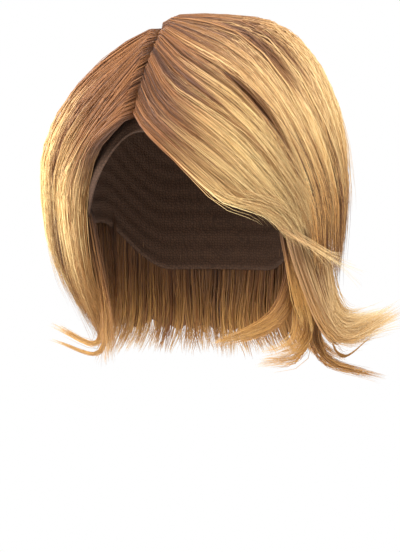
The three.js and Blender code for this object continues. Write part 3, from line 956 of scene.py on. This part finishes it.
@dataclass
class HairLayer:
    """A layer of hair: strands in wisps and locks, over a thin mat of the same hair that closes it.

    A layer with lock_tones has locks that hang by themselves, one to a row, and no mat. mat_depth is how
    deep in the layer the mat lies. It runs from mat_start to about mat_end of the way from root to tip,
    with ends as short as a share mat_ragged of that. mat_dive is how much of the growth's dive it makes,
    within mat_dive_share of the way. Its tones go from a share mat_darkest of mat_tone up to mat_tone,
    and it takes darker colours nearer the roots: painted shade deep in the layer.
    """

    name: str
    rows: Sequence[Row]
    growth: Growth
    finish: HairFinish
    slot: Slot
    seed: int
    lock_tones: tuple[float, ...] = ()
    matted: bool = True
    mat_depth: float = 0.55
    mat_start: float = 0.012
    mat_end: float = 0.7
    mat_ragged: float = 0.85
    mat_dive: float = 0.5
    mat_dive_share: float = 0.06
    mat_columns: int = 36
    mat_steps: int = 28
    mat_wall: float = 1.0
    mat_tone: float = 0.3
    mat_darkest: float = 0.1

    def build(self) -> None:
        """Grow the layer and dress it."""
        rng = np.random.default_rng(self.seed)
        if self.lock_tones:
            locks = [
                Strands.grow(GuideSheet.round_lock(row), self.growth.for_lock(row.half_width, tone), rng)
                for row, tone in zip(self.rows, self.lock_tones)
            ]
            self.dress(Strands.joined(locks).build(f"{self.name}_strands"))
        else:
            sheet = GuideSheet.between(self.rows)
            self.dress(Strands.grow(sheet, self.growth, rng).build(f"{self.name}_strands"))
            if self.matted:
                self.dress(self.mat(sheet, rng))

    def dress(self, piece: bpy.types.Object) -> None:
        """Give a piece of the layer its finish, and hide the layer's solid.

        Args:
            piece: the layer's strands or its mat.
        """
        piece.data.materials.append(self.finish.material())
        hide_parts(self.name)
        LOG.info("%s: %d faces", piece.name, len(piece.data.polygons))

    def mat(self, sheet: GuideSheet, rng: np.random.Generator) -> bpy.types.Object:
        """The thin mat inside the layer, which ends before the strands do.

        Args:
            sheet: where the layer's hair lies.
            rng: a seeded source of random numbers.

        Returns:
            The mat.
        """
        bm = bmesh.new()
        bmesh.ops.create_grid(bm, x_segments=self.mat_columns, y_segments=self.mat_steps, size=0.5)
        flat = np.array([vertex.co for vertex in bm.verts])
        column = np.clip(flat[:, 0] + 0.5, 0.0, 1.0)
        share = np.clip(flat[:, 1] + 0.5, 0.0, 1.0)
        ends = self.mat_end * rng.uniform(self.mat_ragged, 1.0, self.mat_columns + 1)
        strip = np.rint(column * self.mat_columns).astype(int)
        along = lerp(self.mat_start, ends[strip], share)
        places, outward, _ = sheet.at(column, along)
        depth = lerp(self.growth.outer, self.growth.inner, self.mat_depth)
        below = 1 - smoothstep(along, 0.0, self.mat_dive_share)
        height = depth - self.growth.dive * self.mat_dive * below
        places = (places + outward * height[:, None]) * MM
        tones = self.mat_tone * rng.uniform(self.mat_darkest, 1.0, self.mat_columns + 1)
        for vertex, place in zip(bm.verts, places):
            vertex.co = Vector(place)
        bm.normal_update()
        facing = sum(face.normal.dot(Vector(outward[face.verts[0].index])) for face in bm.faces)
        if facing < 0:
            bmesh.ops.reverse_faces(bm, faces=bm.faces)
        layer = bm.loops.layers.uv.new(STRAND_UV)
        for face in bm.faces:
            for loop in face.loops:
                at = loop.vert.index
                # the mat's low tones and its colours from nearer the roots are painted shade deep in the
                # layer
                loop[layer].uv = (tones[strip[at]], along[at] * MAT_SHADE)
            face.smooth = True
        name = f"{self.name}_mat"
        piece = place_piece(name, finished_mesh(bm, name))
        add_wall(piece, self.mat_wall)
        return piece


@dataclass
class WigCap:
    """The net cap, with the rows of sewn wefts that carry the hair.

    Its edge is at rim_front, rim_ear and rim_nape, and goes from one to the next between the turns.
    neck_drop is the depth below the equator at which it would close again. The sewing of each weft is sunk
    by weft_relief, over a share weft_share of the spacing.
    """

    half_width: float = 77.5
    half_length: float = 97.0
    top: float = 126.0
    dome_power: float = 2.12
    neck_drop: float = 190.0
    wall: float = 1.5
    rim_front: float = 60.0
    rim_ear: float = -6.0
    rim_nape: float = -44.0
    brow_turn: float = 18.0
    ear_turn: float = 78.0
    behind_ear_turn: float = 100.0
    nape_turn: float = 150.0
    weft_spacing: float = 12.0
    weft_relief: float = 1.1
    weft_share: float = 0.45
    columns: int = 96
    steps: int = 80

    def rim(self, azimuth: float) -> float:
        """Find the cap's edge.

        Args:
            azimuth: where to find it.

        Returns:
            The edge's height there.
        """
        away = abs(azimuth)
        side = lerp(self.rim_front, self.rim_ear, float(smoothstep(away, self.brow_turn, self.ear_turn)))
        return lerp(side, self.rim_nape, float(smoothstep(away, self.behind_ear_turn, self.nape_turn)))

    def place(self, azimuth: float, climb: float) -> Vector:
        """A place on the cap's outer face.

        Args:
            azimuth: the place's azimuth.
            climb: how far it lies from the edge to the top, from 0 to 1.

        Returns:
            The place, in metres.
        """
        edge = self.rim(azimuth)
        z = lerp(edge, self.top + self.wall, math.sin(math.pi / 2 * climb))
        rise = min(max((z - FORM.equator) / (self.top + self.wall - FORM.equator), 0.0), 1.0)
        dome = (1 - rise**self.dome_power) ** (1 / self.dome_power)
        narrowing = math.sqrt(1 - (max(FORM.equator - z, 0.0) / self.neck_drop) ** 2)
        row = ((z - edge) % self.weft_spacing) / self.weft_spacing
        sewn = max(math.sin(math.pi * min(row / self.weft_share, 1.0)), 0.0)
        grow = self.wall - self.weft_relief * sewn
        a = math.radians(azimuth)
        share = dome * narrowing
        x = (self.half_width + grow) * share * math.sin(a)
        y = -(self.half_length + grow) * share * math.cos(a)
        return Vector((x, y, z)) * MM

    def build(self) -> None:
        """Make the cap from a flat grid, wrapped round and closed at the back and the top."""
        bm = bmesh.new()
        bmesh.ops.create_grid(bm, x_segments=self.columns, y_segments=self.steps, size=0.5)
        for vertex in bm.verts:
            vertex.co = self.place(360 * vertex.co.x, min(max(vertex.co.y + 0.5, 0.0), 1.0))
        bmesh.ops.remove_doubles(bm, verts=bm.verts, dist=MERGE_REACH * MM)
        bmesh.ops.recalc_face_normals(bm, faces=bm.faces)
        if sum(face.normal.dot(face.calc_center_median()) for face in bm.faces) < 0:
            bmesh.ops.reverse_faces(bm, faces=bm.faces)
        for face in bm.faces:
            face.smooth = True
        piece = place_piece("cap_net", finished_mesh(bm, "cap_net"))
        add_wall(piece, self.wall)
        piece.data.materials.append(NetFinish().material())
        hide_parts("wig_cap")
        LOG.info("%s: %d faces", piece.name, len(piece.data.polygons))


# The layers' rows, most of them within a few millimetres of the solids' rows. The columns of a draped row:
# along, az, sweep, side, bend_z, tuck, tip_z, flick, turn, root_lift, root_fall, crown_dip
FRINGE_ROWS = (
    DrapedRow(66, 22, -2, -5, 7, -3, -16, 0, 31),
    DrapedRow(50, 51, 3, -2, 2, 0, -18, 1, 4),
    DrapedRow(35.4, 57, 6, -3, 4, -2, -11, -2, 4, 4.5, 0.6, 2.4),
)
LEFT_SIDE_ROWS = (
    DrapedRow(34.6, 58, 6, -2, -14, -2, -42, -5, 7, 4.5, 0.6, 2.4),
    DrapedRow(18, 72, -8, -1.6, -16, -3, -44, -5, 4, 7, 0.6, 5.4),
    DrapedRow(5, 100, -4, -1.6, -20, -5, -46, -8, 0, 8, 0.6, 6.7),
    DrapedRow(-9, 135, -5, -3, -22, -5, -60, -7, 0, 6.5, 0.6, 5.1),
)
RIGHT_SIDE_ROWS = (
    DrapedRow(67, -61, -6, -20, -40, -27, -92, -48, -5),
    DrapedRow(52, -72, 6, -13, -45, -23, -98, -46, -3),
    DrapedRow(28, -88, 0, 5, -30, -2, -88, -34, 0),
    DrapedRow(-5, -121, 0, 1, -45, -8, -95, -22, 0),
)
BACK_ROWS = (
    DrapedRow(-8.6, 134, -5, -3, -24, -5, -62, -7, 0, 6.5, 0.6, 5.1),
    DrapedRow(-20, 180, 0, -3, -45, -10, -92, -2, 0, 5, 0.6, 3.3),
    DrapedRow(-14, 215, 0, -3, -50, -12, -100, -8, 0),
    DrapedRow(-4, 241, 0, 1, -46, -8, -98, -22, 0),
)
# The columns of a hanging row:
# az, root_z, root_lift, bend_z, tuck, tip_z, flick, turn, half_width, tip_share
TEMPLE_FLICK_ROWS = (
    HangingRow(44, 10, -8, -20, 4, -40, 14, 32),
    HangingRow(48, 12, -8, -17, 6, -29, 14, 29),
)
LEFT_FLICK_ROWS = (
    HangingRow(58, 20, -24, -89, 12, -73, 41, 28),
    HangingRow(82, 20, -24, -73, -2, -67, 33, 9),
    HangingRow(118, 16, -24, -72, -4, -84, 12, 4),
)
NAPE_ROWS = (
    HangingRow(112, -2, -28, -84, -26, -110, -8, 0),
    HangingRow(180, -30, -16, -84, -24, -112, -10, 0),
    HangingRow(248, -2, -28, -84, -26, -110, -12, 0),
)
LEFT_UNDER_ROWS = (
    HangingRow(65, 8, -28, -56, -17, -81, -14, 0, 8, 1.2),
    HangingRow(74, 10, -28, -72, -26, -88, -26, -57, 8),
    HangingRow(80, 4, -28, -90, -20, -97, -26, -36, 13, 0.6),
    HangingRow(86, 2, -28, -100, -16, -115, 24, 6, 13),
    HangingRow(90, 2, -28, -103, -4, -89, 17, 4, 1.2),
    HangingRow(104, 2, -28, -90, -22, -108, 0, 4, 13),
)
RIGHT_UNDER_ROWS = (
    HangingRow(-72, 12, -27, -80, -46, -104, -50, 12, 11, 1.1),
    HangingRow(-78, 4, -28, -94, -38, -83, 2, -14, 2.4),
    HangingRow(-92, 4, -28, -102, -37, -95, 2, -4, 2.4),
    HangingRow(-106, 2, -28, -84, -34, -106, -22, 0, 12),
)


def top_layers() -> list[HairLayer]:
    """The layers that fall from the parting and the crown.

    Returns:
        The fringe, both sides and the back.
    """
    fringe = Growth(
        wisps=300, strands=8, locks=7, ridge=1.5, outer=1.0, inner=-8.0,
        dive=ROOT_DIVE, late_roots=0.03,
        # the lower tone at the last edge, by the left side, is painted shade beside the furrow there
        tones=(0.42, 0.46, 0.54, 0.6, 0.6, 0.58, 0.56, 0.54, 0.46),
        root_tone=0.4, tip_tone=-0.14, lighten=0.01,
        strays=0.04, stray_reach=12.0,
        valleys=(Valley(1.0, 0.08, 0.34, 0.92, 0.9, 6.0), Valley(0.62, 0.03, 0.15, 0.5, 0.4)),
    )
    left_side = Growth(
        wisps=360, strands=8, locks=12, ridge=2.0, outer=1.0, inner=-9.0,
        dive=ROOT_DIVE, late_roots=0.03, wave=0.8, fray=0.7,
        tones=(0.62, 0.68, 0.74, 0.74, 0.66),
        # strong painted shade between the locks towards the tips
        root_tone=0.46, tip_tone=-0.5, lighten=0.05, groove_shade=2.6, groove_shade_from=0.6,
        valleys=(
            Valley(0.0, 0.035, 0.32, 0.84, 0.9, 6.0),
            Valley(0.39, 0.025, 0.18, 0.52, 0.8, 3.0),
            Valley(0.47, 0.02, 0.22, 0.5, 0.6, 2.0),
        ),
    )
    right_side = Growth(
        wisps=310, strands=8, locks=10, ridge=2.0, outer=1.0, inner=-9.0,
        dive=ROOT_DIVE, late_roots=0.03, fray=0.8,
        # tones across the right side: streaks of the fibre, with painted shade at the face edge and a painted
        # highlight on the pale outer strip
        tones=(0.4, 0.4, 0.5, 0.8, 0.95, 0.9, 0.6, 1.0, 1.05, 0.9, 0.7, 0.5, 0.5),
        # roots lighter than on the other layers: painted light where they face away from the key light
        root_tone=0.65, tip_tone=-0.95,
        valleys=(
            Valley(0.485, 0.035, 0.34, 0.98, 0.85, 4.0),
            Valley(0.54, 0.035, 0.58, 1.15, 0.6, 2.0),
            Valley(0.1, 0.05, 0.4, 0.8, 0.3, 2.0),
        ),
    )
    back = Growth(wisps=275, strands=8, locks=12, ridge=2.0, outer=1.0, inner=-9.0, dive=ROOT_DIVE)
    return [
        HairLayer("fringe", FRINGE_ROWS, fringe, ROOTED_BLONDE, Slot.TOP, seed=11),
        HairLayer("left_side", LEFT_SIDE_ROWS, left_side, STREAKED_SHADED_BLONDE, Slot.TOP, seed=12),
        HairLayer("right_side", RIGHT_SIDE_ROWS, right_side, ROOTED_BLONDE, Slot.TOP, seed=13),
        HairLayer("back", BACK_ROWS, back, ROOTED_BLONDE, Slot.TOP, seed=14),
    ]


def flicked_layers() -> list[HairLayer]:
    """The golden layers whose ends turn outwards.

    Returns:
        The temple flick and the left flick.
    """
    temple_flick = Growth(
        wisps=12, strands=4, locks=3, ridge=0.0, outer=1.0, inner=-2.0, points=14,
        shortest=0.55, longest=1.2, overlap=2.0, point=0.3, splay=6.0,
        tones=(0.85,), thickness=0.36,
    )
    left_flick = Growth(
        wisps=140, strands=10, locks=9, ridge=1.5, outer=0.5, inner=-6.0, points=14,
        shortest=0.74, longest=1.06, overlap=4.0, gather=0.2, point=0.8, splay=3.5,
        # the dark first tone is painted shade, under the fringe's tail
        tones=(0.15, 0.6, 0.7, 0.5),
    )
    return [
        HairLayer(
            "temple_flick", TEMPLE_FLICK_ROWS, temple_flick, GOLDEN_ENDS, Slot.ENDS, seed=15, matted=False
        ),
        HairLayer("left_flick", LEFT_FLICK_ROWS, left_flick, GOLDEN_ENDS, Slot.ENDS, seed=16),
    ]


def under_layers() -> list[HairLayer]:
    """The layers that hang under the others.

    Returns:
        The nape and the locks under both sides.
    """
    nape = Growth(
        wisps=90, strands=12, locks=18, ridge=2.5, outer=0.5, inner=-6.0,
        shortest=0.92, longest=1.02, gather=0.6, point=0.5, fray=0.9, splay=1.2, thickness=0.85,
    )
    left_under = Growth(
        wisps=10, strands=15, locks=1, ridge=0.0, outer=0.0, inner=-7.0, points=14,
        # a low root tone down to 0.7 of their length: painted shade under the hair above
        shortest=0.9, longest=1.04, point=0.45, fray=0.7, splay=1.0, root_tone=0.1, root_end=0.7,
    )
    right_under = Growth(
        wisps=10, strands=14, locks=1, ridge=0.0, outer=0.0, inner=-7.0, points=14,
        shortest=0.88, longest=1.06, point=0.2, splay=4.0,
    )
    left_tones = (1.1, 0.65, 0.85, 0.45, 0.5, 0.4)
    right_tones = (0.62, 0.7, 0.7, 0.4)
    return [
        HairLayer("nape", NAPE_ROWS, nape, CARAMEL, Slot.UNDER, seed=17, mat_depth=-0.05, mat_end=0.78),
        HairLayer(
            "left_under", LEFT_UNDER_ROWS, left_under, CARAMEL, Slot.UNDER, seed=18, lock_tones=left_tones
        ),
        HairLayer(
            "right_under", RIGHT_UNDER_ROWS, right_under, CARAMEL, Slot.UNDER, seed=19, lock_tones=right_tones
        ),
    ]


@dataclass
class Studio:
    """A pale floor under the wig, soft lights round it, and the camera at the photograph's angle.

    Its lengths are in metres, apart from the camera's sensor. frame_height is the height that the
    picture spans at the wig. backdrop and ambient are the world's strength, as the camera sees it and as it
    lights the wig.
    """

    azimuth: float = 12.0
    elevation: float = 3.0
    distance: float = 1.6
    frame_height: float = 0.403
    sensor: float = 36.0
    aim_side: float = 0.0022
    aim_height: float = -0.0447
    floor_height: float = -0.36
    floor_radius: float = 0.36
    floor_segments: int = 96
    floor_colour: int = 0xF1F0EE
    floor_roughness: float = 0.9
    backdrop: float = 1.0
    ambient: float = 0.9

    def build(self) -> None:
        """Set up the camera, the lights, the world and the floor."""
        self.add_camera()
        self.add_world()
        self.add_light("key", (-0.5, -1.8, 1.1), 1.2, 34.0)
        self.add_light("left_fill", (1.7, -0.8, 0.6), 1.2, 26.0)
        self.add_light("right_fill", (-1.7, -0.7, 0.4), 1.2, 38.0)
        self.add_light("top", (0.1, 0.3, 1.7), 1.0, 12.0)
        self.add_light("back", (-0.4, 1.7, 0.7), 1.0, 10.0)
        self.add_floor()

    def add_camera(self) -> None:
        """Add the camera, aimed so that the wig falls where the photograph has it."""
        turn = math.radians(self.azimuth)
        tilt = math.radians(self.elevation)
        aim = Vector((self.aim_side * math.cos(turn), self.aim_side * math.sin(turn), self.aim_height))
        back = Vector((math.sin(turn) * math.cos(tilt), -math.cos(turn) * math.cos(tilt), math.sin(tilt)))
        data = bpy.data.cameras.new("camera")
        data.sensor_width = self.sensor
        data.lens = self.sensor * self.distance / self.frame_height
        camera = into_scene("camera", data)
        camera.location = aim + back * self.distance
        camera.rotation_euler = (-back).to_track_quat("-Z", "Y").to_euler()
        bpy.context.scene.camera = camera

    def add_world(self) -> None:
        """Add a white backdrop that lights the wig softly from all round."""
        scene = bpy.context.scene
        scene.view_settings.view_transform = "Standard"
        scene.world = bpy.data.worlds.new("studio")
        scene.world.use_nodes = True
        tree = scene.world.node_tree
        path = add_node(tree, "ShaderNodeLightPath", {})
        seen = {"Value": path.outputs["Is Camera Ray"], "To Min": self.ambient, "To Max": self.backdrop}
        strength = add_node(tree, "ShaderNodeMapRange", seen)
        background = tree.nodes["Background"]
        background.inputs["Color"].default_value = (1.0, 1.0, 1.0, 1.0)
        tree.links.new(strength.outputs[0], background.inputs["Strength"])

    def add_light(self, name: str, place: tuple[float, float, float], size: float, power: float) -> None:
        """Add a square soft light, turned towards the wig.

        Args:
            name: the light's name.
            place: where it stands.
            size: the length of its sides.
            power: its power in watts.
        """
        data = bpy.data.lights.new(name, "AREA")
        data.size = size
        data.energy = power
        light = into_scene(name, data)
        light.location = place
        light.rotation_euler = (-Vector(place)).to_track_quat("-Z", "Y").to_euler()

    def add_floor(self) -> None:
        """Add a round, pale floor, low enough that the wig hangs clear of it."""
        bm = bmesh.new()
        bmesh.ops.create_circle(bm, cap_ends=True, segments=self.floor_segments, radius=self.floor_radius)
        bmesh.ops.translate(bm, verts=bm.verts, vec=(0.0, 0.0, self.floor_height))
        floor = into_scene("floor", finished_mesh(bm, "floor"))
        paint, _, shader = new_material("matt_floor_paint")
        shader.inputs["Base Color"].default_value = linear(self.floor_colour)
        shader.inputs["Roughness"].default_value = self.floor_roughness
        floor.data.materials.append(paint)


def main() -> None:
    """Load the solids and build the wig's looks over them."""
    logging.basicConfig(level=logging.INFO, format="%(name)s: %(message)s")
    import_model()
    Studio().build()
    WigCap().build()
    for layer in (*top_layers(), *flicked_layers(), *under_layers()):
        layer.build()


if __name__ == "__main__":
    main()
